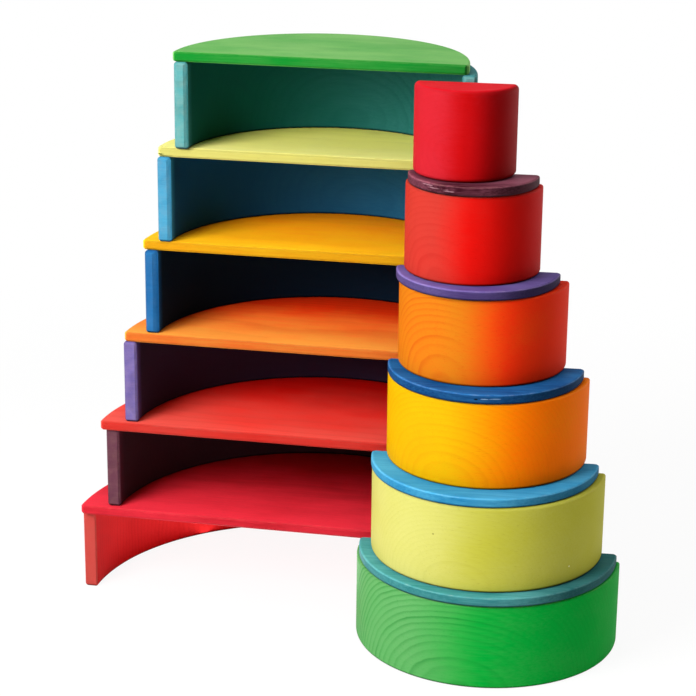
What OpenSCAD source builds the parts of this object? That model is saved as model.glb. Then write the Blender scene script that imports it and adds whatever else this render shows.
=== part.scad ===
/* [Blocks] */
// Radius of the solid half-round block, the smallest of the blocks
core_r = 40; // [30:1:52]
// Growth of the outer radius from one block to the next larger one
nest_step = 13.5; // [11:0.5:18]
// Gap between two nested blocks, from the saw cut and the sanding
nest_gap = 2; // [1:0.25:4]
// Height of every block as it stands on its curved outline
block_h = 70; // [40:1:100]
// Radius on the long edges of the arches
arch_ease = 2.4; // [2:0.2:3]
// Chamfer on the upright edges of an arch's two end faces
end_upright = 1.6; // [0.8:0.2:1.6]
// Chamfer on the upper and lower edges of an arch's two end faces
end_level = 2.4; // [1:0.2:3.4]
// Radius on the rims of the solid block
core_ease = 3.5; // [1:0.5:8]
// Chamfer round the flat side of the solid block
core_chamfer = 3; // [1:0.5:8]

/* [Boards] */
// Thickness of every board
board_t = 8; // [5:0.5:14]
// How far a board's radius falls short of the block that it lies on
board_setback = 2.5; // [0:0.5:6]
// Radius on the round rim of the boards
board_ease = 1.8; // [0.8:0.2:2.4]
// Chamfer along the straight edge of the boards
board_chamfer = 1.6; // [0.8:0.2:2.4]
// Chamfer on the two tips of a board, seen from above
tip_chamfer = 3; // [1:0.5:8]

/* [Stacks] */
// Room between two stacked pieces, whose sanded faces are not quite flat
seat_gap = 0.04; // [0.02:0.01:0.2]
// How far the right stack's axis stands to the right of the left one's
stack_shift = 140; // [60:1:240]
// Least open room between two pieces at the same height, one in each stack
stack_gap = 2; // [0.5:0.5:60]
// Turn of the right stack on the table
stack_turn = 3; // [0:0.5:6]

/* [Hidden] */
$fn = 96;

// The stains, from the largest block to the solid one; the boards take them in the opposite order
stains = [
    ["rose", "#c8262c"],
    ["maroon", "#5a2440"],
    ["violet", "#4a3180"],
    ["blue", "#1d55a0"],
    ["sky", "#3a8fc8"],
    ["teal", "#3f9090"],
    ["green", "#3fae4c"],
    ["lime", "#c4d450"],
    ["gold", "#f5a51c"],
    ["orange", "#f06a20"],
    ["vermilion", "#e23a26"],
    ["crimson", "#e02838"]
];
block_count = len(stains);
arch_count = block_count - 1;
board_count = block_count - 1;
left_count = block_count / 2;

// Where each piece was set down by hand, off the axis of its stack, from the largest to the smallest
block_place = [
    [-13, 3], [-3, -1], [1, -3], [6, 0], [4, 2], [6, 0],
    [9, 8], [8, 2], [5, 7], [-1, 8], [-10, 1], [-17, -6]
];
board_place = [
    [-15, -5], [-9, -6], [-1, -2], [1, 4], [1, 5], [2, 2],
    [9, 4], [5, 0], [3, 3], [-5, 1], [-10, -4]
];

wall = nest_step - nest_gap;
level_rise = block_h + board_t + 2 * seat_gap;
// Room by which a cutting tool passes the wood
past = 1;

function in_left(k) = k <= left_count;
function level(k) = in_left(k) ? k - 1 : k - left_count - 1;
function outer_r(k) = core_r + (block_count - k) * nest_step;
function inner_r(k) = outer_r(k) - wall;
function board_r(k) = outer_r(k) - board_setback;
function block_z(k) = level(k) * level_rise;
function board_z(k) = block_z(k) + block_h + seat_gap;
function axis(k) = in_left(k) ? [0, 0] : [stack_shift, -stack_back];
function facing(k) = in_left(k) ? 0 : 180 + stack_turn;
function block_xy(k) = axis(k) + block_place[k - 1];
function board_xy(k) = axis(k) + board_place[k - 1];

// How far the right stack's axis stands in front of the left one's: the pieces at each height keep the gap,
// also where the turn brings a tip of the right one back
left_pieces = [1 : left_count];
tip_back = sin(stack_turn);
block_room = [for (k = left_pieces) block_place[k - 1].y - block_place[k + left_count - 1].y
    - outer_r(k + left_count) * tip_back];
board_room = [for (k = [1 : board_count - left_count]) board_place[k - 1].y - board_place[k + left_count - 1].y
    - board_r(k + left_count) * tip_back];
stack_back = stack_gap - min(concat(block_room, board_room));

// The middle of the floor that the two stacks cover, which is the origin
right_blocks = [left_count + 1 : block_count];
right_boards = [left_count + 1 : board_count];
low_x = min([for (k = left_pieces) each [block_xy(k).x - outer_r(k), board_xy(k).x - board_r(k)]]);
high_y = max([for (k = left_pieces) each [block_xy(k).y + outer_r(k), board_xy(k).y + board_r(k)]]);
high_x = max(concat(
    [for (k = right_blocks) block_xy(k).x + outer_r(k)],
    [for (k = right_boards) board_xy(k).x + board_r(k)]
));
low_y = min(concat(
    [for (k = right_blocks) block_xy(k).y - outer_r(k)],
    [for (k = right_boards) board_xy(k).y - board_r(k)]
));
middle = [(low_x + high_x) / 2, (low_y + high_y) / 2];

function stain_name(k) = stains[k - 1][0];
function stain_colour(k) = stains[k - 1][1];
function board_stain(k) = block_count + 1 - k;
function arch_name(k) = str(stain_name(k), "_arch");
function board_name(k) = str(stain_name(board_stain(k)), "_board");
core_name = str(stain_name(block_count), "_half_round");

// Puts a piece on its stack: a spot on the floor, its height and the way its round side faces
module set_down(spot, z, turn) {
    translate([spot.x - middle.x, spot.y - middle.y, z])
        rotate(turn)
            children();
}

// Cross-section of a bent bar, with round corners; x is the distance from the axis
module eased_section(near, far, height, ease) {
    translate([near + ease, 0])
        square([far - near - 2 * ease, height]);
    translate([near, ease])
        square([far - near, height - 2 * ease]);
    for (x = [near + ease, far - ease], y = [ease, height - ease])
        translate([x, y])
            circle(ease);
}

// Cross-section of a solid half-round, with round corners on its outer side only
module rim_section(far, height, ease) {
    square([far - ease, height]);
    translate([0, ease])
        square([far, height - 2 * ease]);
    for (y = [ease, height - ease])
        translate([far - ease, y])
            circle(ease);
}

// Wedge that takes the corner off an upright edge at this x on the flat side
module upright_chamfer(x, height, leg) {
    translate([x, 0, height / 2])
        rotate(45)
            cube([leg * sqrt(2), leg * sqrt(2), height + 2 * past], center = true);
}

// Wedges that take the corners off the upper and lower edge of the flat side
module level_chamfers(reach, height, leg) {
    for (z = [0, height])
        translate([0, 0, z])
            rotate([45, 0, 0])
                cube([2 * reach + 2 * past, leg * sqrt(2), leg * sqrt(2)], center = true);
}

// Half-round arch: an eased bar bent through half a turn, with chamfered ends
module arch(k) {
    color(stain_colour(k))
        set_down(block_xy(k), block_z(k), facing(k))
            difference() {
                rotate_extrude(angle = 180)
                    eased_section(inner_r(k), outer_r(k), block_h, arch_ease);
                for (x = [-outer_r(k), -inner_r(k), inner_r(k), outer_r(k)])
                    upright_chamfer(x, block_h, end_upright);
                level_chamfers(outer_r(k), block_h, end_level);
            }
}

// Semicircle board with an eased rim
module board(k) {
    color(stain_colour(board_stain(k)))
        set_down(board_xy(k), board_z(k), facing(k))
            difference() {
                rotate_extrude(angle = 180)
                    rim_section(board_r(k), board_t, board_ease);
                for (x = [-board_r(k), board_r(k)])
                    upright_chamfer(x, board_t, tip_chamfer);
                level_chamfers(board_r(k), board_t, board_chamfer);
            }
}

// Solid half-round block, the last piece in the middle of the nest
module half_round() {
    color(stain_colour(block_count))
        set_down(block_xy(block_count), block_z(block_count), facing(block_count))
            difference() {
                rotate_extrude(angle = 180)
                    rim_section(core_r, block_h, core_ease);
                for (x = [-core_r, core_r])
                    upright_chamfer(x, block_h, core_chamfer);
                level_chamfers(core_r, block_h, core_chamfer);
            }
}

for (k = [1 : arch_count])
    arch(k);
for (k = [1 : board_count])
    board(k);
half_round();
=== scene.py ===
import math

import bpy
from mathutils import Matrix, Vector


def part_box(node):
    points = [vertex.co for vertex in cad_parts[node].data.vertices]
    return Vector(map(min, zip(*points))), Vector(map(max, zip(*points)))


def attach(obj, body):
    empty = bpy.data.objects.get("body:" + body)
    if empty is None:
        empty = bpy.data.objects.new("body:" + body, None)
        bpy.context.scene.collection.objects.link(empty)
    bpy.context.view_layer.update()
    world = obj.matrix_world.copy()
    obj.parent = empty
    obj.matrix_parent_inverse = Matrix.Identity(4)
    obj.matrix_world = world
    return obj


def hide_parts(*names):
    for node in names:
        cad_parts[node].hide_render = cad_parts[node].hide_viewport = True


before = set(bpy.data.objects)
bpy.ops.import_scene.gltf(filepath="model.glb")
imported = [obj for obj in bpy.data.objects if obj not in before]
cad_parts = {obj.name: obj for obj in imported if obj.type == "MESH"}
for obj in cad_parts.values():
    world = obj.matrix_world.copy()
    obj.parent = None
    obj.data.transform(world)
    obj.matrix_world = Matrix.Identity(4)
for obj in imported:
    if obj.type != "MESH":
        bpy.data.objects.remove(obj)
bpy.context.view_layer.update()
scene = bpy.context.scene
scene.view_settings.view_transform = "Standard"
print("frame loaded:", len(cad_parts), "nodes")

# how the set was sawn, in metres: every block is one step larger than the next one inside it
nest = {
    "order": ["rose", "maroon", "violet", "blue", "sky", "teal",
              "green", "lime", "gold", "orange", "vermilion", "crimson"],
    "coreRadius": 0.040,
    "step": 0.0135,
    "wall": 0.0115,
    "boardSetback": 0.0025,
    "leftCount": 6,                    # blocks in the left stack, open side to the front
    "rightTurn": math.radians(183),    # the right stack shows its round side, turned a little
}
black = (0, 0, 0, 1)
white = (1, 1, 1, 1)


def blockRadius(rank):
    return nest["coreRadius"] + (len(nest["order"]) - 1 - rank) * nest["step"]


# a half-round piece's own frame: origin in the middle of its straight side, at its underside,
# and y towards the curve
def shapeOf(nodeName, radius, inner, inLeftStack):
    low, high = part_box(nodeName)
    if inLeftStack:
        place, turn = Vector(((low.x + high.x) / 2, low.y, low.z)), 0.0
    else:
        place, turn = Vector((high.x - radius, low.y + radius, low.z)), nest["rightTurn"]
    return {"place": place, "turn": turn, "radius": radius, "inner": inner, "height": high.z - low.z}


# node helpers, for shader trees and geometry trees alike
def addNode(tree, kind, wires=None, **settings):
    made = tree.nodes.new(kind)
    for name, value in settings.items():
        setattr(made, name, value)
    for key, value in (wires or {}).items():
        if isinstance(value, bpy.types.NodeSocket):
            tree.links.new(value, made.inputs[key])
        else:
            made.inputs[key].default_value = value
    return made


def maths(tree, operation, *values, clamp=False):
    wires = dict(enumerate(values))
    return addNode(tree, "ShaderNodeMath", wires, operation=operation, use_clamp=clamp).outputs[0]


def blendColour(tree, factor, first, second):
    wires = {0: factor, 6: first, 7: second}
    return addNode(tree, "ShaderNodeMix", wires, data_type="RGBA").outputs[2]


def mapRange(tree, value, low, high, newLow, newHigh, smooth=False):
    wires = {"Value": value, "From Min": low, "From Max": high, "To Min": newLow, "To Max": newHigh}
    kind = "SMOOTHSTEP" if smooth else "LINEAR"
    return addNode(tree, "ShaderNodeMapRange", wires, interpolation_type=kind).outputs[0]


def moved(tree, vector, location=(0, 0, 0), rotation=(0, 0, 0), scale=(1, 1, 1), mode="POINT"):
    wires = {"Vector": vector, "Location": location, "Rotation": rotation, "Scale": scale}
    return addNode(tree, "ShaderNodeMapping", wires, vector_type=mode).outputs[0]


def noise(tree, vector, scale, detail, roughness, seed):
    wires = {"Vector": vector, "W": seed, "Scale": scale, "Detail": detail, "Roughness": roughness}
    return addNode(tree, "ShaderNodeTexNoise", wires, noise_dimensions="4D").outputs[0]


def splitAxes(tree, vector):
    return addNode(tree, "ShaderNodeSeparateXYZ", {0: vector}).outputs


def joinAxes(tree, *values):
    return addNode(tree, "ShaderNodeCombineXYZ", dict(enumerate(values))).outputs[0]


def lengthOf(tree, vector):
    return addNode(tree, "ShaderNodeVectorMath", {0: vector}, operation="LENGTH").outputs["Value"]


# distance from a piece's upright axis
def reachOf(tree, local):
    return lengthOf(tree, moved(tree, local, scale=(1, 1, 0)))


def linearColour(hexColour):
    parts = [int(hexColour[i:i + 2], 16) / 255 for i in (0, 2, 4)]
    return [c / 12.92 if c <= 0.04045 else ((c + 0.055) / 1.055) ** 2.4 for c in parts] + [1.0]


# water stains on lime wood: pale where little was taken up, full where the wood drank it
stains = {
    "rose": {"pale": "ab2224", "full": "8f1113"},
    "maroon": {"pale": "593442", "full": "3d1625"},
    "violet": {"pale": "574c7c", "full": "3a2b5d"},
    "blue": {"pale": "1f5786", "full": "093c6d"},
    "sky": {"pale": "428bab", "full": "1b6790"},
    "teal": {"pale": "4a888a", "full": "1f6568"},
    "green": {"pale": "559255", "full": "009230"},
    "lime": {"pale": "b1af61", "full": "a6a436"},
    "gold": {"pale": "bf9604", "full": "e66800"},
    "orange": {"pale": "b36911", "full": "d82a08"},
    "vermilion": {"pale": "a32e25", "full": "bc0b06"},
    "crimson": {"pale": "a31b25", "full": "a30609"},
}

# the wood under the stain, in metres; ranges are those of the noise that they follow
wood = {
    "bare": "b39a7c",
    "brightest": 0.92,               # no stain sends back more light than this
    "stemLength": 30,                # how much slower the rings change along the fibre than across it
    "ringWave": 0.3,                 # small waves in the rings, as a share of their spacing
    "ringDepth": 0.38,               # how much darker the late wood takes the stain
    "lateWood": ((0.35, 0.08), (0.86, 1.0), (0.95, 0.35)),    # how a ring darkens outwards
    "yearSpread": (0.45, 1.15),      # weak and strong years
    "ringFade": (0.3, 0.55, 0.4),    # where rings fade, and how far
    "lateShare": 0.5,                # the darkest late wood, as a share of the full stain
    "fibreDepth": 0.35,
    "blotchDepth": 0.55,
    "poreDepth": 0.22,
    "poreRange": (0.62, 0.72),
    "wearRange": (0.35, 0.7, 0.1),   # where edges are rubbed, and how much at least
    "wearPale": 0.45,
    "wearBare": 0.42,
    "mottleRange": (0.42, 0.66),
    "markEdge": (0.6, 1.0),          # where a mark fades out, as a share of its size
    "flatHueShare": 0.55,
    "topLitHueShare": 0.8,
    "fibreRange": (0.3, 0.7),
    "roughness": (0.48, 0.62),
    "gloss": 0.02,
    "raisedRings": -0.4,
    "raisedPores": -0.5,
    "bump": 0.25,
    "bumpHeight": 0.0002,
}

# noise in the wood: changes in a metre across the fibre, the share of them along it, detail,
# roughness and shift of the seed
patterns = {
    "wander": (16, 0.35, 2, 0.5, 0),
    "wave": (130, 0.3, 2, 0.5, 17),
    "fade": (15, 1, 2, 0.5, 11),
    "streaks": (700, 0.035, 3, 0.6, 0),
    "fineFibre": (2600, 0.05, 2, 0.6, 0),
    "pores": (1500, 0.12, 1, 0.5, 5),
    "blotch": (22, 0.6, 4, 0.55, 3),
    "patches": (140, 1, 4, 0.65, 7),
}

# where the zones of a piece fade out, in metres from the face or edge that they belong to
zones = {
    "edge": (0.0, 0.0018),
    "straightSide": (0.0008, 0.0022),
    "innerWall": (0.0008, 0.0035),
    "behindEnds": (0.003, 0.012),      # the inner wall starts behind the end faces
    "footShade": (0.0003, 0.0028),          # strip along the lower edge, darker in the photograph: painted contact shade
    "rim": (0.0022, 0.0010),
    "top": (0.0016, 0.0006),
    "topFace": (0.0012, 0.0002),
    "wallSides": (-0.6, 0.8),          # these two are shares of the radius
    "farSideShade": (-0.7, -0.15),
}

# what a look and a mark leave unsaid
plainLook = {
    "hue": {}, "tone": 1.0, "grain": 1.0, "paleness": 0.4, "backShade": 0.0,
    "litSidePale": 0.0, "litSidePaleSpan": (-0.1, 0.55), "tilt": 0.0, "ringSpacing": 0.0042, "wander": 0.007,
    "figure": 1.0, "farFigure": 1.0, "figureSpan": (-0.35, 0.25),
    "endPale": 0.0, "mottle": 0.0, "flatShade": 1.0, "farShade": 1.0, "footShade": 0.8, "marks": [],
}
plainMark = {"turn": 0, "ragged": 1.5}


def pattern(tree, local, name, look):
    scale, stretch, detail, roughness, shift = patterns[name]
    drawnOut = moved(tree, local, scale=(stretch, 1, 1))
    return noise(tree, drawnOut, scale, detail, roughness, look["seed"] + shift)


# growth rings: tubes along the fibre, round a pith that lies outside the piece; 1 in the late wood
def growthRings(tree, local, look, shape):
    x = splitAxes(tree, local)[0]
    spacing = look["ringSpacing"]
    stem = (wood["stemLength"], 1, 1)
    fromPith = moved(tree, local, look["pith"], (0, 0, look["tilt"]), stem, "TEXTURE")
    wander = pattern(tree, local, "wander", look)
    wave = pattern(tree, local, "wave", look)
    strayed = maths(tree, "MULTIPLY_ADD", wander, 2 * look["wander"], lengthOf(tree, fromPith))
    strayed = maths(tree, "MULTIPLY_ADD", wave, wood["ringWave"] * spacing, strayed)
    ringCount = maths(tree, "DIVIDE", strayed, spacing)
    lateWood = addNode(tree, "ShaderNodeValToRGB", {"Fac": maths(tree, "FRACT", ringCount)})
    ramp = lateWood.color_ramp
    ramp.interpolation = "EASE"
    ramp.elements[0].color = black
    ramp.elements[1].color = black
    for at, tone in wood["lateWood"]:
        ramp.elements.new(at).color = (tone, tone, tone, 1)
    yearTone = addNode(tree, "ShaderNodeTexWhiteNoise", {"W": maths(tree, "FLOOR", ringCount)},
                       noise_dimensions="1D").outputs["Value"]
    weak, strong = wood["yearSpread"]
    year = maths(tree, "MULTIPLY_ADD", yearTone, strong - weak, weak)
    fadeFrom, fadeTo, fadeLeast = wood["ringFade"]
    faded = mapRange(tree, pattern(tree, local, "fade", look), fadeFrom, fadeTo, fadeLeast, 1.0)
    spanFrom, spanTo = [shape["radius"] * share for share in look["figureSpan"]]
    faded = maths(tree, "MULTIPLY", faded, mapRange(tree, x, spanFrom, spanTo, look["farFigure"], 1.0))
    return maths(tree, "MULTIPLY", maths(tree, "MULTIPLY", lateWood.outputs[0], year), faded)


# distance to the nearest edge of a piece, from its own outline
def edgeDistance(tree, local, shape):
    y, z = splitAxes(tree, local)[1:]
    reach = reachOf(tree, local)
    toRound = maths(tree, "SUBTRACT", shape["radius"], reach)
    if shape["inner"]:
        toRound = maths(tree, "MINIMUM", toRound, maths(tree, "SUBTRACT", reach, shape["inner"]))
    toFace = maths(tree, "MINIMUM", z, maths(tree, "SUBTRACT", shape["height"], z))
    lower = maths(tree, "MINIMUM", toRound, toFace)
    upper = maths(tree, "MAXIMUM", toRound, toFace)
    return maths(tree, "MAXIMUM", lower, maths(tree, "MINIMUM", upper, y))


# a mark that use has left on one piece: an uneven spot, paler or darker than the stain round it
def addMark(tree, colour, local, uneven, mark):
    mark = dict(plainMark, **mark)
    turn = math.radians(mark["turn"])
    spot = lengthOf(tree, moved(tree, local, mark["at"], (0, 0, turn), mark["size"], "TEXTURE"))
    uneven = maths(tree, "SUBTRACT", uneven, 0.5)
    ragged = maths(tree, "MULTIPLY_ADD", uneven, mark["ragged"], spot)
    cover = mapRange(tree, ragged, *wood["markEdge"], mark["strength"], 0.0, True)
    return blendColour(tree, cover, colour, linearColour(mark["tone"]))


def tonedStain(hexColour, tone):
    return [min(wood["brightest"], tone * c) for c in linearColour(hexColour)[:3]] + [1.0]


def stainedWood(name, look, shape):
    look = dict(plainLook, **look)
    stain = dict(stains[look["stain"]], **look["hue"])
    radius, height = shape["radius"], shape["height"]
    material = bpy.data.materials.new(name)
    material.use_nodes = True
    tree = material.node_tree
    shader = tree.nodes["Principled BSDF"]
    where = addNode(tree, "ShaderNodeTexCoord").outputs["Object"]
    local = moved(tree, where, shape["place"], (0, 0, shape["turn"]), mode="TEXTURE")
    x, y, z = splitAxes(tree, local)
    across = maths(tree, "DIVIDE", x, radius)

    # fibres: long thin streaks along x, finer ones for the bump, and short dark pores
    rings = growthRings(tree, local, look, shape)
    streaks = pattern(tree, local, "streaks", look)
    fineFibre = pattern(tree, local, "fineFibre", look)
    pores = mapRange(tree, pattern(tree, local, "pores", look), *wood["poreRange"], 0, 1)
    blotch = pattern(tree, local, "blotch", look)
    patches = pattern(tree, local, "patches", look)

    # wear: rubbed strips along the edges, and the straight side where the stain stands mottled
    rubbed = mapRange(tree, edgeDistance(tree, local, shape), *zones["edge"], 1.0, 0.0, True)
    wear = maths(tree, "MULTIPLY", rubbed, mapRange(tree, patches, *wood["wearRange"], 1.0))
    onFlat = mapRange(tree, y, *zones["straightSide"], 1.0, 0.0, True)
    mottle = mapRange(tree, patches, *wood["mottleRange"], 0.0, look["mottle"])
    mottle = maths(tree, "MULTIPLY", onFlat, mottle)

    # stain: full to pale by blotches and fibres, deeper in late wood and pores, thin where rubbed
    pale, full = [tonedStain(stain[kind], look["tone"]) for kind in ("pale", "full")]
    # painted light: a piece is paler on the side towards the key light
    litSidePale = mapRange(tree, across, *look["litSidePaleSpan"], 0.0, look["litSidePale"], True)
    uptake = maths(tree, "ADD", litSidePale, look["paleness"])
    # painted shade: towards the back, under the board above, the stain goes fuller and darker
    uptake = maths(tree, "MULTIPLY_ADD", y, -look["backShade"] / radius, uptake)
    for layer, depth in ((blotch, wood["blotchDepth"]), (streaks, wood["fibreDepth"])):
        offMean = maths(tree, "SUBTRACT", layer, 0.5)
        uptake = maths(tree, "MULTIPLY_ADD", offMean, 2 * depth * look["grain"], uptake)
    uptake = maths(tree, "MULTIPLY_ADD", wear, wood["wearPale"], uptake)
    uptake = maths(tree, "MULTIPLY_ADD", onFlat, look["endPale"], uptake, clamp=True)
    coloured = blendColour(tree, uptake, full, pale)
    darkest = [wood["lateShare"] * c for c in full[:3]] + [1.0]
    late = maths(tree, "MULTIPLY", rings, wood["ringDepth"] * look["figure"])
    late = maths(tree, "MULTIPLY_ADD", pores, wood["poreDepth"], late, clamp=True)
    coloured = blendColour(tree, late, coloured, darkest)
    bared = maths(tree, "POWER", wear, 2)
    thin = maths(tree, "MULTIPLY_ADD", bared, wood["wearBare"], mottle, clamp=True)
    coloured = blendColour(tree, thin, coloured, linearColour(wood["bare"]))

    # zones: painted shade on the straight side, the inner wall of an arch, the rim of a board (partly
    # end grain), the foot and the far side, and painted light on the top
    # the straight side is blended towards its own hue; on the green board a darker one, painted shade
    if "flatHue" in look:
        share = maths(tree, "MULTIPLY", onFlat, wood["flatHueShare"])
        coloured = blendColour(tree, share, coloured, linearColour(look["flatHue"]))
    # painted shade on the inner wall of an arch: blended towards a dark hue, darkest on the left
    if "innerWallShade" in look:
        wallFrom, wallTo = [shape["inner"] + depth for depth in zones["innerWall"]]
        inside = mapRange(tree, reachOf(tree, local), wallFrom, wallTo, 1.0, 0.0, True)
        leftWallShade, rightWallShade = [1 - tone for tone in look["innerWallShade"]]
        deep = mapRange(tree, across, *zones["wallSides"], leftWallShade, rightWallShade)
        deep = maths(tree, "MULTIPLY", deep, mapRange(tree, y, *zones["behindEnds"], 0.0, 1.0))
        inside = maths(tree, "MULTIPLY", inside, deep)
        coloured = blendColour(tree, inside, coloured, linearColour(look["innerWallShadeHue"]))
    # painted contact shade in a strip along the lower edge
    footShade = mapRange(tree, z, *zones["footShade"], look["footShade"], 0.0, True)
    # painted shade on the straight side and its chamfers
    shaded = maths(tree, "MAXIMUM", footShade, maths(tree, "MULTIPLY", onFlat, 1 - look["flatShade"]))
    # painted shade on the far side of a piece, turned away from the key light
    farSideShade = mapRange(tree, across, *zones["farSideShade"], 1 - look["farShade"], 0.0, True)
    if "rimStainAndShade" in look:
        # the rim is darker than the top: partly end grain for most of its way round, which drinks more
        # stain, and partly painted shade
        topFrom, topTo = [height - depth for depth in zones["top"]]
        rimFrom, rimTo = [radius - depth for depth in zones["rim"]]
        topside = mapRange(tree, z, topFrom, topTo, 0.0, 1.0, True)
        rim = mapRange(tree, reachOf(tree, local), rimFrom, rimTo, 0.0, 1 - look["rimStainAndShade"], True)
        rim = maths(tree, "MULTIPLY", rim, maths(tree, "SUBTRACT", 1, topside))
        coloured = blendColour(tree, rim, coloured, black)
        # the top keeps only a share of the far side's painted shade
        kept = maths(tree, "MULTIPLY_ADD", topside, look["farShadeOnTop"] - 1, 1)
        farSideShade = maths(tree, "MULTIPLY", farSideShade, kept)
    shaded = maths(tree, "MAXIMUM", shaded, farSideShade)
    coloured = blendColour(tree, shaded, coloured, black)
    # painted light: the top face takes a brighter, purer hue than the sides
    if "topLitHue" in look:
        topFrom, topTo = [height - depth for depth in zones["topFace"]]
        onTop = mapRange(tree, z, topFrom, topTo, 0.0, wood["topLitHueShare"])
        coloured = blendColour(tree, onTop, coloured, linearColour(look["topLitHue"]))
    for mark in look["marks"]:
        coloured = addMark(tree, coloured, local, patches, mark)
    tree.links.new(coloured, shader.inputs["Base Color"])

    # satin finish: rougher along the fibres, and a fine raised grain
    rough = mapRange(tree, streaks, *wood["fibreRange"], *wood["roughness"])
    tree.links.new(rough, shader.inputs["Roughness"])
    raised = maths(tree, "MULTIPLY_ADD", rings, wood["raisedRings"], fineFibre)
    raised = maths(tree, "MULTIPLY_ADD", pores, wood["raisedPores"], raised)
    wires = {"Strength": wood["bump"], "Distance": wood["bumpHeight"], "Height": raised}
    tree.links.new(addNode(tree, "ShaderNodeBump", wires).outputs[0], shader.inputs["Normal"])
    shader.inputs["Specular IOR Level"].default_value = wood["gloss"]
    return material


# how the meshes are finished, in metres
finish = {
    "sandingNoise": (2.6, 1, 0.5),    # hand sanding: changes for each radius, detail, roughness
    "nearEnd": 0.4999,                # a bar one unit long ends at a half
    "nearFace": 0.49,                 # a disc one unit high has its faces at a half
    "nearFront": 1e-5,
    "tipShare": 0.75,                 # a tip's edges lie below this share of its cut
    "mergeReach": 1e-6,
    "easeSegments": 4,
    "sharpAngle": math.radians(30),
    "faceWeight": 80,                 # how far large faces rule the shading of the edges
}


# geometry trees: named inputs first, then the shape
def newTree(name, inputs):
    tree = bpy.data.node_groups.new(name, "GeometryNodeTree")
    for label, kind in inputs:
        tree.interface.new_socket(label, in_out="INPUT", socket_type="NodeSocket" + kind)
    tree.interface.new_socket("Geometry", in_out="OUTPUT", socket_type="NodeSocketGeometry")
    return tree, addNode(tree, "NodeGroupInput").outputs, addNode(tree, "NodeGroupOutput")


def closeTree(tree, mesh, given, output):
    smooth = addNode(tree, "GeometryNodeSetShadeSmooth", {"Geometry": mesh}).outputs[0]
    real = addNode(tree, "GeometryNodeRealizeInstances", {"Geometry": smooth}).outputs[0]
    wires = {"Geometry": real, "Material": given["Material"]}
    dressed = addNode(tree, "GeometryNodeSetMaterial", wires).outputs[0]
    tree.links.new(dressed, output.inputs[0])


# marks edges for a cut: "chamfer" for flat cuts, "ease" for rounded ones
def storeCut(tree, mesh, cut, value):
    wires = {"Geometry": mesh, "Name": cut, "Value": value}
    kept = addNode(tree, "GeometryNodeStoreNamedAttribute", wires, data_type="FLOAT", domain="EDGE")
    return kept.outputs[0]


# hand sanding takes a little more off here and there, always into the wood
def sandedOff(tree, track, given):
    uneven = noise(tree, track, *finish["sandingNoise"], given["Seed"])
    return maths(tree, "MULTIPLY", uneven, given["Sanding"])


def arcPlace(tree, reach, cosine, sine, *level):
    x = maths(tree, "MULTIPLY", reach, cosine)
    y = maths(tree, "MULTIPLY", reach, sine)
    return joinAxes(tree, x, y, *level)


# a straight bar bent through half a turn; its end steps are long enough to take the end chamfers
def archTree():
    tree, given, output = newTree("bentArch", [
        ("Outer Radius", "Float"), ("Wall", "Float"), ("Height", "Float"), ("Arc Steps", "Int"),
        ("End Step", "Float"), ("Inner Cut", "Float"), ("Outer Cut", "Float"), ("Level Cut", "Float"),
        ("Sanding", "Float"), ("Seed", "Float"), ("Material", "Material")])
    count = maths(tree, "ADD", given["Arc Steps"], 1)
    bar = addNode(tree, "GeometryNodeMeshCube", {"Vertices X": count, "Vertices Y": 2, "Vertices Z": 2})
    x, y, z = splitAxes(tree, addNode(tree, "GeometryNodeInputPosition").outputs[0])

    # the bar is one unit long, wide and high, and on edges the position is the middle of the edge
    offMiddle = [maths(tree, "ABSOLUTE", axis) for axis in (x, y, z)]
    atEnd, atSide, atFace = [maths(tree, "GREATER_THAN", off, finish["nearEnd"]) for off in offMiddle]
    uprightCut = mapRange(tree, y, -0.5, 0.5, given["Inner Cut"], given["Outer Cut"])
    uprightEdge = maths(tree, "MULTIPLY", maths(tree, "MULTIPLY", atEnd, atSide), uprightCut)
    levelEdge = maths(tree, "MULTIPLY", maths(tree, "MULTIPLY", atEnd, atFace), given["Level Cut"])
    cut = storeCut(tree, bar.outputs[0], "chamfer", maths(tree, "ADD", uprightEdge, levelEdge))
    eased = storeCut(tree, cut, "ease", maths(tree, "MULTIPLY", atSide, atFace))

    # bend: even steps round the arc between the two end steps
    station = maths(tree, "MULTIPLY", maths(tree, "ADD", x, 0.5), given["Arc Steps"])
    inner = maths(tree, "SUBTRACT", given["Outer Radius"], given["Wall"])
    endAngle = maths(tree, "DIVIDE", given["End Step"], inner)
    innerSteps = maths(tree, "SUBTRACT", given["Arc Steps"], 2)
    share = maths(tree, "DIVIDE", maths(tree, "SUBTRACT", station, 1), innerSteps, clamp=True)
    sweep = maths(tree, "MULTIPLY_ADD", endAngle, -2, math.pi)
    firstAngle = maths(tree, "SUBTRACT", math.pi, endAngle)
    angle = maths(tree, "SUBTRACT", firstAngle, maths(tree, "MULTIPLY", share, sweep))
    atStart = maths(tree, "LESS_THAN", station, 0.5)
    atStop = maths(tree, "GREATER_THAN", station, maths(tree, "SUBTRACT", given["Arc Steps"], 0.5))
    ends = maths(tree, "SUBTRACT", atStart, atStop)
    angle = maths(tree, "MULTIPLY_ADD", ends, endAngle, angle)
    cosine, sine = maths(tree, "COSINE", angle), maths(tree, "SINE", angle)
    level = maths(tree, "MULTIPLY", maths(tree, "ADD", z, 0.5), given["Height"])

    # the inner and the outer side are sanded into the wall
    taken = sandedOff(tree, joinAxes(tree, cosine, sine, z), given)
    reach = maths(tree, "MULTIPLY_ADD", maths(tree, "ADD", y, 0.5), given["Wall"], inner)
    intoWall = maths(tree, "MULTIPLY", maths(tree, "MULTIPLY", y, 2), taken)
    reach = maths(tree, "SUBTRACT", reach, intoWall)
    wires = {"Geometry": eased, "Position": arcPlace(tree, reach, cosine, sine, level)}
    bent = addNode(tree, "GeometryNodeSetPosition", wires).outputs[0]
    closeTree(tree, bent, given, output)
    return tree


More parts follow.
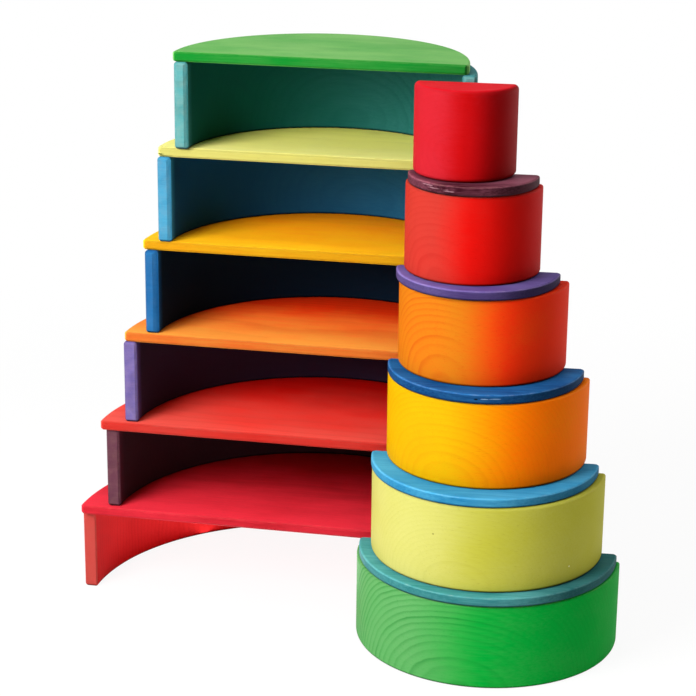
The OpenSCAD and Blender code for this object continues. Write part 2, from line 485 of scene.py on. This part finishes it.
# a half disc with cut tips, as one outline raised to its thickness
def halfDiscTree():
    tree, given, output = newTree("halfDisc", [
        ("Radius", "Float"), ("Height", "Float"), ("Arc Steps", "Int"), ("Tip Cut", "Float"),
        ("Tip Ease", "Float"), ("Sanding", "Float"), ("Seed", "Float"), ("Material", "Material")])
    count = maths(tree, "ADD", given["Arc Steps"], 3)
    outline = addNode(tree, "GeometryNodeMeshCircle", {"Vertices": count}, fill_type="NGON").outputs[0]
    index = addNode(tree, "GeometryNodeInputIndex").outputs[0]
    tipAngle = maths(tree, "DIVIDE", given["Tip Cut"], given["Radius"])
    share = maths(tree, "DIVIDE", index, given["Arc Steps"], clamp=True)
    sweep = maths(tree, "MULTIPLY_ADD", tipAngle, -2, math.pi)
    angle = maths(tree, "MULTIPLY_ADD", share, sweep, tipAngle)
    cosine, sine = maths(tree, "COSINE", angle), maths(tree, "SINE", angle)
    taken = sandedOff(tree, joinAxes(tree, cosine, sine), given)
    reach = maths(tree, "SUBTRACT", given["Radius"], taken)

    # the last two points stand on the straight side, left and then right
    onFront = maths(tree, "GREATER_THAN", index, maths(tree, "ADD", given["Arc Steps"], 0.5))
    onRight = maths(tree, "GREATER_THAN", index, maths(tree, "ADD", given["Arc Steps"], 1.5))
    side = maths(tree, "MULTIPLY_ADD", onRight, 2, -1)
    frontX = maths(tree, "MULTIPLY", maths(tree, "SUBTRACT", given["Radius"], given["Tip Cut"]), side)
    roundPlace = arcPlace(tree, reach, cosine, sine)
    wires = {"Switch": onFront, "False": roundPlace, "True": joinAxes(tree, frontX)}
    corner = addNode(tree, "GeometryNodeSwitch", wires, input_type="VECTOR").outputs[0]
    wires = {"Geometry": outline, "Position": corner}
    drawn = addNode(tree, "GeometryNodeSetPosition", wires).outputs[0]

    # raised, and closed by the same outline turned over
    wires = {"Mesh": drawn, "Offset Scale": given["Height"]}
    raised = addNode(tree, "GeometryNodeExtrudeMesh", wires, mode="FACES").outputs[0]
    under = addNode(tree, "GeometryNodeFlipFaces", {"Mesh": drawn}).outputs[0]
    both = addNode(tree, "GeometryNodeJoinGeometry")
    tree.links.new(under, both.inputs[0])
    tree.links.new(raised, both.inputs[0])
    wires = {"Geometry": both.outputs[0], "Distance": finish["mergeReach"]}
    solid = addNode(tree, "GeometryNodeMergeByDistance", wires).outputs[0]

    # flat cuts along the straight side, a round ease along the rim and a smaller one on the tips
    y, z = splitAxes(tree, addNode(tree, "GeometryNodeInputPosition").outputs[0])[1:]
    level = maths(tree, "DIVIDE", z, given["Height"])
    offMiddle = maths(tree, "ABSOLUTE", maths(tree, "SUBTRACT", level, 0.5))
    onFace = maths(tree, "GREATER_THAN", offMiddle, finish["nearFace"])
    atFront = maths(tree, "LESS_THAN", y, finish["nearFront"])
    cut = storeCut(tree, solid, "chamfer", maths(tree, "MULTIPLY", onFace, atFront))
    offRim = maths(tree, "LESS_THAN", y, maths(tree, "MULTIPLY", given["Tip Cut"], finish["tipShare"]))
    atTip = maths(tree, "SUBTRACT", offRim, atFront)
    easing = maths(tree, "MULTIPLY_ADD", atTip, given["Tip Ease"], maths(tree, "SUBTRACT", 1, offRim))
    eased = storeCut(tree, cut, "ease", maths(tree, "MULTIPLY", onFace, easing))
    closeTree(tree, eased, given, output)
    return tree


# turns a piece and its modifiers into a plain mesh
def settle(piece):
    depsgraph = bpy.context.evaluated_depsgraph_get()
    plain = bpy.data.meshes.new_from_object(piece.evaluated_get(depsgraph), depsgraph=depsgraph)
    piece.modifiers.clear()
    piece.data = plain


# runs a tree, cuts and eases its edges, and leaves a plain mesh at the piece's own place
def makePiece(name, tree, values, cuts, shape, nodeName):
    piece = bpy.data.objects.new(name, bpy.data.meshes.new(name))
    scene.collection.objects.link(piece)
    shaped = piece.modifiers.new("shape", "NODES")
    shaped.node_group = tree
    for item in tree.interface.items_tree:
        if item.in_out == "INPUT":
            shaped[item.identifier] = values[item.name]
    for cut, segments in (("chamfer", 1), ("ease", finish["easeSegments"])):
        eased = piece.modifiers.new(cut, "BEVEL")
        eased.limit_method = "WEIGHT"
        eased.edge_weight = cut
        eased.width = cuts[cut]
        eased.segments = segments
        eased.use_clamp_overlap = False
    settle(piece)

    # flat faces shade flat, and the chamfers keep crisp lines
    piece.data.set_sharp_from_angle(angle=finish["sharpAngle"])
    level = piece.modifiers.new("normals", "WEIGHTED_NORMAL")
    level.weight = finish["faceWeight"]
    level.keep_sharp = True
    settle(piece)
    piece.data.transform(Matrix.Translation(shape["place"]) @ Matrix.Rotation(shape["turn"], 4, "Z"))
    piece.data.name = name
    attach(piece, nodeName)
    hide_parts(nodeName)


# arches: how far the end edges were sanded back, and the look of each, in metres
# heart is where the pith lies: how far beyond the curve, towards which side in degrees, and how high
archShape = {"arcSteps": 112, "endStep": 0.0052, "ease": 0.0024, "level": 0.0022, "sanding": 0.00025}
archCuts = {"inner": 0.0020, "outer": 0.0016}
# the inner-wall values of the left arches paint shade into their bays
arches = {
    "rose": {"seed": 1.0, "inner": 0.0012, "heart": (0.030, 10, 0.020), "figure": 0.6, "tone": 1.4,
             "endPale": 0.4, "mottle": 0.06, "flatShade": 0.68, "flatHue": "c0584f"},
    "maroon": {"seed": 2.0, "inner": 0.0018, "outer": 0.0014, "heart": (0.030, 0, 0.050), "figure": 0.6,
               "endPale": 0.4, "mottle": 0.05, "innerWallShade": (0.2, 0.2), "innerWallShadeHue": "281b20"},
    "violet": {"seed": 3.0, "inner": 0.0018, "heart": (0.030, 12, 0.015), "figure": 0.6, "tone": 1.25,
               "endPale": 0.5, "mottle": 0.08, "innerWallShade": (0.05, 0.15), "innerWallShadeHue": "261b28"},
    "blue": {"seed": 4.0, "inner": 0.0044, "heart": (0.030, -8, 0.040), "figure": 0.6, "tone": 1.1,
             "endPale": 0.4, "mottle": 0.02, "innerWallShade": (0.02, 0.1), "innerWallShadeHue": "091622"},
    "sky": {"seed": 5.0, "inner": 0.0032, "outer": 0.0014, "heart": (0.025, 6, 0.014), "figure": 0.5,
            "endPale": 0.4, "mottle": 0.08, "flatShade": 0.88,
            "innerWallShade": (0.05, 0.5), "innerWallShadeHue": "0c355a"},
    "teal": {"seed": 6.0, "inner": 0.0032, "heart": (0.025, 0, 0.012), "figure": 0.6,
             "endPale": 0.5, "mottle": 0.12, "innerWallShade": (0.1, 0.5), "innerWallShadeHue": "04463c"},
    "green": {"seed": 7.0, "heart": (0.060, 8, -0.009), "figure": 1.5, "farFigure": 0.25, "grain": 0.5,
              "litSidePale": 0.9, "paleness": 0.05, "ringSpacing": 0.0036, "wander": 0.0022},
    "lime": {"seed": 8.0, "heart": (0.045, 10, 0.004), "figure": 0.25, "farFigure": 0.4, "grain": 0.7,
             "litSidePale": 0.8, "paleness": 0.1, "ringSpacing": 0.0026, "wander": 0.0022, "marks": [
                 {"at": (0.035, 0.0872, 0.044), "size": (0.0009, 0.0014, 0.0008),
                  "tone": "4a4a18", "strength": 0.6},
                 {"at": (-0.070, 0.0627, 0.014), "size": (0.0008, 0.0012, 0.0009),
                  "tone": "e4e2c0", "strength": 0.7}]},
    "gold": {"seed": 9.0, "heart": (0.045, 18, 0.002), "figure": 0.45, "farFigure": 0.4, "grain": 0.5,
             "litSidePale": 0.9, "litSidePaleSpan": (-0.55, 0.4), "paleness": 0.05,
             "ringSpacing": 0.0034, "wander": 0.0018},
    "orange": {"seed": 10.0, "heart": (0.055, 23, 0.002), "figure": 0.9, "farFigure": 0.1,
               "figureSpan": (0.1, 0.45), "grain": 0.4, "litSidePale": 0.95, "litSidePaleSpan": (-0.45, 0.3),
               "paleness": 0.0, "farShade": 0.9, "ringSpacing": 0.0034, "wander": 0.0014},
    "vermilion": {"seed": 11.0, "heart": (0.045, 26, 0.004), "figure": 0.5, "farFigure": 0.1,
                  "figureSpan": (0.1, 0.5), "grain": 0.5, "litSidePale": 0.9, "paleness": 0.05,
                  "farShade": 0.85, "ringSpacing": 0.0032, "wander": 0.0014},
}

archMaker = archTree()
for rank, stainName in enumerate(nest["order"][:-1]):
    look = dict(archCuts, stain=stainName, **arches[stainName])
    nodeName = stainName + "_arch"
    radius = blockRadius(rank)
    beyond, towards, height = look["heart"]
    towards = math.radians(towards)
    look["tilt"] = -towards
    look["pith"] = Vector((math.sin(towards), math.cos(towards), 0)) * (radius + beyond)
    look["pith"].z = height
    shape = shapeOf(nodeName, radius, radius - nest["wall"], rank < nest["leftCount"])
    deepest = max(look["inner"], archShape["level"])
    cuts = {"chamfer": deepest, "ease": archShape["ease"]}
    values = {"Outer Radius": radius, "Wall": nest["wall"], "Height": shape["height"],
              "Arc Steps": archShape["arcSteps"], "End Step": archShape["endStep"],
              "Inner Cut": look["inner"] / deepest, "Outer Cut": look["outer"] / deepest,
              "Level Cut": archShape["level"] / deepest,
              "Sanding": archShape["sanding"], "Seed": look["seed"],
              "Material": stainedWood(stainName + "StainArch", look, shape)}
    makePiece(stainName + "Arch", archMaker, values, cuts, shape, nodeName)
print("arches made:", len(arches))

# boards: straight grain along the flat side; the boards take the stains in the opposite order
boardShape = {"arcSteps": 128, "tipCut": 0.003, "chamfer": 0.0016, "ease": 0.0018, "tipEase": 0.0012,
              "sanding": 0.0002}
# the boards' straight sides take fuller stain and a painted shade
boardFlat = {"flatShade": 0.6, "endPale": -0.5}
boards = {
    "crimson": {"seed": 21.0, "pith": (0, 0.03, -0.16), "figure": 0.4,
                "hue": {"pale": "da2e3e", "full": "9c1018"},
                "paleness": 1.1, "backShade": 1.45, "flatShade": 0.72, "footShade": 0.1},
    "vermilion": {"seed": 22.0, "pith": (0, 0.09, -0.20), "figure": 0.4,
                  "hue": {"pale": "da5046", "full": "ea1810"},
                  "paleness": 1.0, "backShade": 1.3, "flatShade": 0.5, "footShade": 0.1},
    "orange": {"seed": 23.0, "pith": (0, 0.02, -0.14), "figure": 0.4,
               "hue": {"pale": "e6963c", "full": "f83e10"},
               "paleness": 1.08, "backShade": 1.6, "flatShade": 0.52, "footShade": 0.1},
    "gold": {"seed": 24.0, "pith": (0, 0.05, -0.18), "figure": 0.35,
             "hue": {"pale": "f0bc1c", "full": "f68808"},
             "paleness": 0.9, "backShade": 0.9, "endPale": -0.25, "flatShade": 0.5, "footShade": 0.1},
    "lime": {"seed": 25.0, "pith": (0, 0.04, -0.15), "figure": 0.4,
             "hue": {"pale": "e4de86", "full": "f4ea70"},
             "paleness": 0.9, "backShade": 0.9, "flatShade": 0.46, "footShade": 0.1, "marks": [
                 {"at": (-0.1293, 0.0010, 0.0022), "size": (0.0035, 0.004, 0.0008),
                  "tone": "2c3408", "strength": 0.85}]},
    "green": {"seed": 26.0, "pith": (0, 0.06, -0.22), "figure": 0.35,
              "hue": {"pale": "7daf65", "full": "147e2c"},
              "paleness": 0.6, "tone": 1.1, "flatShade": 0.78, "flatHue": "06761e", "footShade": 0.1},
    "teal": {"seed": 27.0, "pith": (0, 0.03, -0.12), "figure": 0.5, "tone": 1.56, "grain": 1.8,
             "farShade": 0.48, "rimStainAndShade": 0.62, "farShadeOnTop": 1.0},
    "sky": {"seed": 28.0, "pith": (0, 0.02, -0.15), "figure": 0.4, "tone": 1.58, "grain": 1.8,
            "farShade": 0.65, "rimStainAndShade": 0.66, "farShadeOnTop": 0.4},
    "blue": {"seed": 29.0, "pith": (0, 0.05, -0.12), "figure": 0.4,
             "hue": {"pale": "2a6aa0", "full": "06356a"}, "tone": 1.35, "grain": 1.8,
             "farShade": 0.5, "rimStainAndShade": 0.5, "farShadeOnTop": 0.4, "marks": [
                 {"at": (0.001, 0.0780, 0.0042), "size": (0.0022, 0.003, 0.0009),
                  "tone": "020409", "strength": 0.95},
                 # pale streaks along the rim: a scratch, with the highlight it catches painted in
                 {"at": (-0.006, 0.0776, 0.0045), "size": (0.0045, 0.003, 0.0004),
                  "tone": "7f9cba", "strength": 0.7, "ragged": 3},
                 {"at": (-0.014, 0.0766, 0.0047), "size": (0.0050, 0.003, 0.0003),
                  "tone": "7f9cba", "strength": 0.6, "ragged": 3}]},
    "violet": {"seed": 30.0, "pith": (0, 0.02, -0.11), "figure": 0.4, "tone": 2.0, "grain": 1.6,
               "farShade": 0.4, "rimStainAndShade": 0.42, "farShadeOnTop": 0.4},
    "maroon": {"seed": 31.0, "pith": (0, 0.03, -0.10), "figure": 0.7,
               "hue": {"pale": "8a4c5e", "full": "3a0f1c"}, "tone": 1.08, "grain": 2.4,
               "farShade": 0.4, "rimStainAndShade": 0.55, "farShadeOnTop": 0.4, "marks": [
                   {"at": (0.0310, 0.0400, 0.0060), "size": (0.0060, 0.004, 0.0005), "turn": -38,
                    "tone": "96707a", "strength": 0.6, "ragged": 4},
                   {"at": (0.0240, 0.0448, 0.0044), "size": (0.0080, 0.004, 0.0005), "turn": -28,
                    "tone": "96707a", "strength": 0.6, "ragged": 4},
                   {"at": (0.0150, 0.0485, 0.0034), "size": (0.0060, 0.004, 0.0004), "turn": -18,
                    "tone": "96707a", "strength": 0.6, "ragged": 4}]},
}
discMaker = halfDiscTree()


def makeHalfDisc(name, sizes, look, shape, nodeName, paint):
    values = {"Radius": shape["radius"], "Height": shape["height"], "Arc Steps": sizes["arcSteps"],
              "Tip Cut": sizes["tipCut"], "Tip Ease": sizes["tipEase"] / sizes["ease"],
              "Sanding": sizes["sanding"], "Seed": look["seed"],
              "Material": stainedWood(paint, look, shape)}
    makePiece(name, discMaker, values, sizes, shape, nodeName)


for rank in range(len(boards)):
    stainName = nest["order"][len(boards) - rank]
    look = dict(boardFlat, stain=stainName)
    look.update(boards[stainName])
    nodeName = stainName + "_board"
    radius = blockRadius(rank) - nest["boardSetback"]
    shape = shapeOf(nodeName, radius, 0.0, rank < nest["leftCount"])
    makeHalfDisc(stainName + "Board", boardShape, look, shape, nodeName, stainName + "StainBoard")
print("boards made:", len(boards))

# the solid half-round block, the middle of the nest
halfRound = {"stain": "crimson", "seed": 41.0, "pith": (0, 0.055, 0.02), "figure": 0.15,
             "farFigure": 0.2, "litSidePale": 0.9, "paleness": 0.05, "farShade": 0.66, "topLitHue": "cc101e",
             "arcSteps": 128, "tipCut": 0.0034, "chamfer": 0.0024, "ease": 0.0040, "tipEase": 0.0023,
             "sanding": 0.0002}
nodeName = "crimson_half_round"
shape = shapeOf(nodeName, nest["coreRadius"], 0.0, False)
makeHalfDisc("crimsonHalfRound", halfRound, halfRound, shape, nodeName, "crimsonStainHalfRound")
print("half-round made")

# pale floor: the camera and gloss see it go over into a white sweep, with a soft shadow near the stacks
floorLook = {"half": 8.0, "colour": (0.9, 0.9, 0.9, 1),
             "whiteNear": 0.92, "nearReach": 0.4, "farReach": 1.0}
floorMesh = bpy.data.meshes.new("studioFloor")
half = floorLook["half"]
corners = [(-half, -half, 0), (half, -half, 0), (half, half, 0), (-half, half, 0)]
floorMesh.from_pydata(corners, [], [(0, 1, 2, 3)])
floor = bpy.data.objects.new("studioFloor", floorMesh)
scene.collection.objects.link(floor)
floorMaterial = bpy.data.materials.new("studioFloorPaint")
floorMaterial.use_nodes = True
floorTree = floorMaterial.node_tree
floorTree.nodes.clear()


def seenDirectly(tree):
    rays = addNode(tree, "ShaderNodeLightPath").outputs
    direct = maths(tree, "MAXIMUM", rays["Is Camera Ray"], rays["Is Glossy Ray"])
    return maths(tree, "MAXIMUM", direct, rays["Is Transmission Ray"])


matt = addNode(floorTree, "ShaderNodeBsdfDiffuse", {"Color": floorLook["colour"]}).outputs[0]
sweep = addNode(floorTree, "ShaderNodeEmission", {"Color": white, "Strength": 1.0}).outputs[0]
spread = lengthOf(floorTree, addNode(floorTree, "ShaderNodeTexCoord").outputs["Object"])
whitened = mapRange(floorTree, spread, floorLook["nearReach"], floorLook["farReach"],
                    floorLook["whiteNear"], 1.0, True)
shareOfWhite = maths(floorTree, "MULTIPLY", seenDirectly(floorTree), whitened)
mixed = addNode(floorTree, "ShaderNodeMixShader", {0: shareOfWhite, 1: matt, 2: sweep}).outputs[0]
addNode(floorTree, "ShaderNodeOutputMaterial", {"Surface": mixed})
floorMesh.materials.append(floorMaterial)

# white room, dimmer as a light than as a background
room = {"fill": 0.06, "colour": (1, 0.88, 0.8, 1)}
world = bpy.data.worlds.new("studioRoom")
scene.world = world
world.use_nodes = True
roomTree = world.node_tree
roomTree.nodes.clear()
wires = {"Color": room["colour"], "Strength": room["fill"]}
dim = addNode(roomTree, "ShaderNodeBackground", wires).outputs[0]
bright = addNode(roomTree, "ShaderNodeBackground", {"Color": white, "Strength": 1.0}).outputs[0]
wires = {0: seenDirectly(roomTree), 1: dim, 2: bright}
glow = addNode(roomTree, "ShaderNodeMixShader", wires).outputs[0]
addNode(roomTree, "ShaderNodeOutputWorld", {"Surface": glow})


# camera at the photograph's angle, in metres, degrees and millimetres of lens
camera = {"place": (0.3203, -1.6464, 0.7642), "yaw": 11.22, "pitch": 17.91, "roll": 0.63,
          "lens": 110.16, "sensor": 36, "clipEnd": 50}
lens = bpy.data.cameras.new("studioCamera")
lens.lens = camera["lens"]
lens.sensor_width = camera["sensor"]
lens.clip_end = camera["clipEnd"]
eye = bpy.data.objects.new("studioCamera", lens)
turns = ((camera["yaw"], "Z"), (90 - camera["pitch"], "X"), (camera["roll"], "Z"))
eye.matrix_world = Matrix.Translation(camera["place"])
for degrees, axis in turns:
    eye.matrix_world = eye.matrix_world @ Matrix.Rotation(math.radians(degrees), 4, axis)
scene.collection.objects.link(eye)
scene.camera = eye


def addLamp(name, power, width, depth, colour, place):
    lamp = bpy.data.lights.new(name, "AREA")
    lamp.shape = "RECTANGLE"
    lamp.size = width
    lamp.size_y = depth
    lamp.energy = power
    lamp.color = colour
    lampObject = bpy.data.objects.new(name, lamp)
    lampObject.matrix_world = place
    scene.collection.objects.link(lampObject)
    return lampObject


# soft boxes round the stacks: a key on the left, one above, one far right and a low card in front
# around is the angle from the camera to the right, in degrees
softBoxes = {
    "keyBox": {"around": -49, "up": 28, "far": 1.3, "size": 0.66, "power": 27.5,
               "colour": (1, 0.99, 0.97)},
    "topBox": {"around": 0, "up": 88, "far": 2.4, "size": 2.4, "power": 40, "colour": (1, 1, 1)},
    "sideBox": {"around": 118, "up": 6, "far": 2.0, "size": 1.2, "power": 22, "colour": (1, 0.95, 0.9)},
    "frontCard": {"around": 4, "up": -9, "far": 1.2, "size": 0.5, "power": 2, "colour": (1, 1, 1)},
}
aim = Vector((0.02, 0.0, 0.22))
for name, box in softBoxes.items():
    azimuth = math.radians(camera["yaw"] - 90 + box["around"])
    rise = math.radians(box["up"])
    level = Vector((math.cos(azimuth), math.sin(azimuth), 0)) * math.cos(rise)
    outward = level + Vector((0, 0, math.sin(rise)))
    facing = outward.to_track_quat("Z", "Y").to_matrix().to_4x4()
    place = Matrix.Translation(aim + outward * box["far"]) @ facing
    addLamp(name, box["power"], box["size"], box["size"], box["colour"], place)

# white card on the table inside the largest arch, which throws light up on its inner side
card = {"power": 0.31, "width": 0.24, "depth": 0.10, "inset": 0.035, "lift": 0.002, "colour": (1, 1, 1)}
low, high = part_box("rose_arch")
cardMiddle = ((low.x + high.x) / 2, low.y + card["inset"] + card["depth"] / 2, card["lift"])
cardPlace = Matrix.Translation(cardMiddle) @ Matrix.Rotation(math.pi, 4, "X")
tableCard = addLamp("tableCard", card["power"], card["width"], card["depth"], card["colour"], cardPlace)
tableCard.visible_camera = False
print("floor, room, lamps and camera set")
